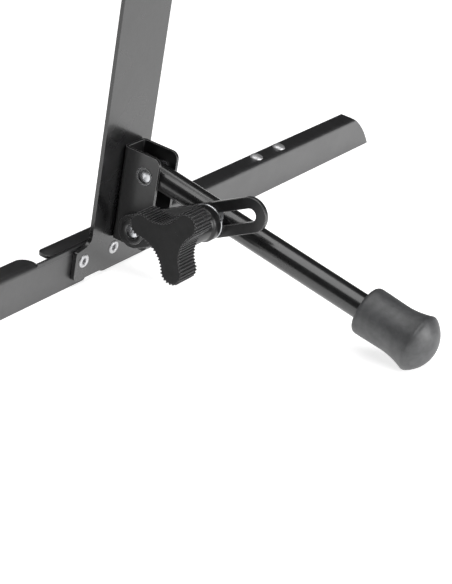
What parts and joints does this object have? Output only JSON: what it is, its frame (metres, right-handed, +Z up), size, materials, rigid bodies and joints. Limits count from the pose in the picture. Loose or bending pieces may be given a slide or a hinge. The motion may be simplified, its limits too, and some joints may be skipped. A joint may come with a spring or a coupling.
{
  "type": "desktop music stand",
  "caption": "Folding desktop music stand: flat upright, ledge arms, upper arms, page holders and a tube leg set by a slotted link with a clamp knob.",
  "frame": {"origin": "on the table, midway between the stand's two sides and midway between its frontmost and rearmost points", "axes": "+X along the ledge towards the right hand of a player who faces the stand, +Y from the player towards the leg, +Z up; the desk leans back about 6.6 degrees from +Z towards +Y"},
  "size_m": [0.498, 0.1843, 0.2506],
  "materials": {
    "black_paint": "semi-gloss black paint",
    "zinc": "bright zinc plating",
    "knob_plastic": "fine matte black",
    "foot_rubber": "matte dark grey"
  },
  "bodies": {
    "base": {"upright": "black_paint", "hinge_bracket": "black_paint", "leg_pin": "zinc", "link_rivet": "zinc", "link_washer": "zinc", "ledge_rivet_left": "zinc", "ledge_rivet_right": "zinc", "ledge_washer_left": "zinc", "ledge_washer_right": "zinc", "upper_rivet_left": "zinc", "upper_rivet_right": "zinc", "upper_washer_left": "zinc", "upper_washer_right": "zinc"},
    "leg": {"leg_tube": "black_paint", "leg_end_cap": "foot_rubber", "clamp_insert": "zinc"},
    "link": {"slotted_link": "black_paint"},
    "knob": {"clamp_screw": "zinc", "clamp_knob": "knob_plastic", "clamp_washer": "zinc"},
    "ledge_left": {"ledge_arm_left": "black_paint", "page_bracket_left": "black_paint", "page_bracket_rivets_left": "zinc", "page_pivot_left": "zinc"},
    "ledge_right": {"ledge_arm_right": "black_paint", "page_bracket_right": "black_paint", "page_bracket_rivets_right": "zinc", "page_pivot_right": "zinc"},
    "page_left": {"page_arm_left": "black_paint"},
    "page_right": {"page_arm_right": "black_paint"},
    "upper_left": {"upper_arm_left": "black_paint"},
    "upper_right": {"upper_arm_right": "black_paint"}
  },
  "joints": [
    {"name": "leg_swing", "type": "hinge", "parent": "base", "child": "leg", "pos_m": [-0.0044, -0.05902, 0.05363], "axis": [1, 0, 0], "range_deg": [-8, 90]},
    {"name": "link_swing", "type": "hinge", "parent": "base", "child": "link", "pos_m": [0.00365, -0.06272, 0.02607], "axis": [1, 0, 0], "range_deg": [-8, 60]},
    {"name": "knob_turn", "type": "hinge", "parent": "leg", "child": "knob", "pos_m": [0.00695, -0.02137, 0.04292], "axis": [1, 0, 0], "range_deg": [0, 540]},
    {"name": "ledge_fold_left", "type": "hinge", "parent": "base", "child": "ledge_left", "pos_m": [0, -0.081, 0.01299], "axis": [0, 0.9933, -0.1152], "range_deg": [0, 90]},
    {"name": "ledge_fold_right", "type": "hinge", "parent": "base", "child": "ledge_right", "pos_m": [0.0225, -0.081, 0.01299], "axis": [0, -0.9933, 0.1152], "range_deg": [0, 90]},
    {"name": "page_swing_left", "type": "hinge", "parent": "ledge_left", "child": "page_left", "pos_m": [-0.141, -0.08966, 0.01429], "axis": [0, -0.9933, 0.1152], "range_deg": [0, 90]},
    {"name": "page_swing_right", "type": "hinge", "parent": "ledge_right", "child": "page_right", "pos_m": [0.141, -0.08966, 0.01429], "axis": [0, 0.9933, -0.1152], "range_deg": [0, 90]},
    {"name": "upper_fold_left", "type": "hinge", "parent": "base", "child": "upper_left", "pos_m": [-0.024, -0.05052, 0.23938], "axis": [0, -0.9933, 0.1152], "range_deg": [0, 90]},
    {"name": "upper_fold_right", "type": "hinge", "parent": "base", "child": "upper_right", "pos_m": [0.024, -0.05052, 0.23938], "axis": [0, 0.9933, -0.1152], "range_deg": [0, 90]}
  ],
  "couplings": [
    {"joint": "link_swing", "follows": "leg_swing", "ratio": 0.622}
  ]
}
